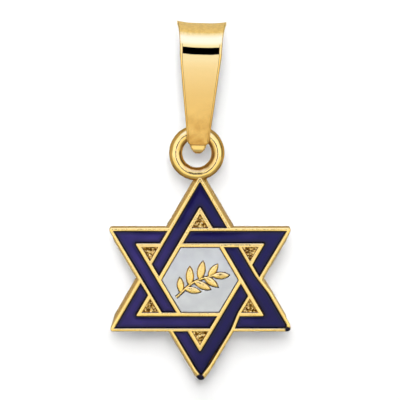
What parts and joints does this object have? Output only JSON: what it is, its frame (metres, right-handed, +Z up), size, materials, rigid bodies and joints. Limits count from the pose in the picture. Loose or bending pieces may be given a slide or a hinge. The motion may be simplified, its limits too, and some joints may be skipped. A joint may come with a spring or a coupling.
{
  "type": "star of david pendant",
  "caption": "Star of two interlaced triangles in enamelled gold, on a ring that swings in a folded bail for a neck chain",
  "frame": {"origin": "inside of the bail's fold at its highest point, where the chain runs, midway across the band", "axes": "+Z up, as the pendant hangs; the enamelled front faces -Y; +X to the right as seen from the front"},
  "size_m": [0.012, 0.0034, 0.0239],
  "materials": {
    "polished_gold": "sheet gold alloy, polished on the fold and lightly brushed on the straps",
    "cast_gold": "cast gold alloy, polished on the rims and fences, stippled in the small recesses",
    "white_enamel": "opaque pale grey enamel, smooth and glossy",
    "blue_enamel": "opaque dark blue enamel, smooth and glossy"
  },
  "bodies": {
    "bail": {"bail": "polished_gold"},
    "star": {"star_frame": "cast_gold", "white_enamel": "white_enamel", "blue_enamel_1": "blue_enamel", "blue_enamel_2": "blue_enamel", "blue_enamel_3": "blue_enamel", "blue_enamel_4": "blue_enamel", "blue_enamel_5": "blue_enamel", "blue_enamel_6": "blue_enamel"}
  },
  "joints": [
    {"name": "star_swing", "type": "hinge", "parent": "bail", "child": "star", "pos_m": [0, 0, -0.00673], "axis": [1, 0, 0], "range_deg": [-60, 60]}
  ]
}
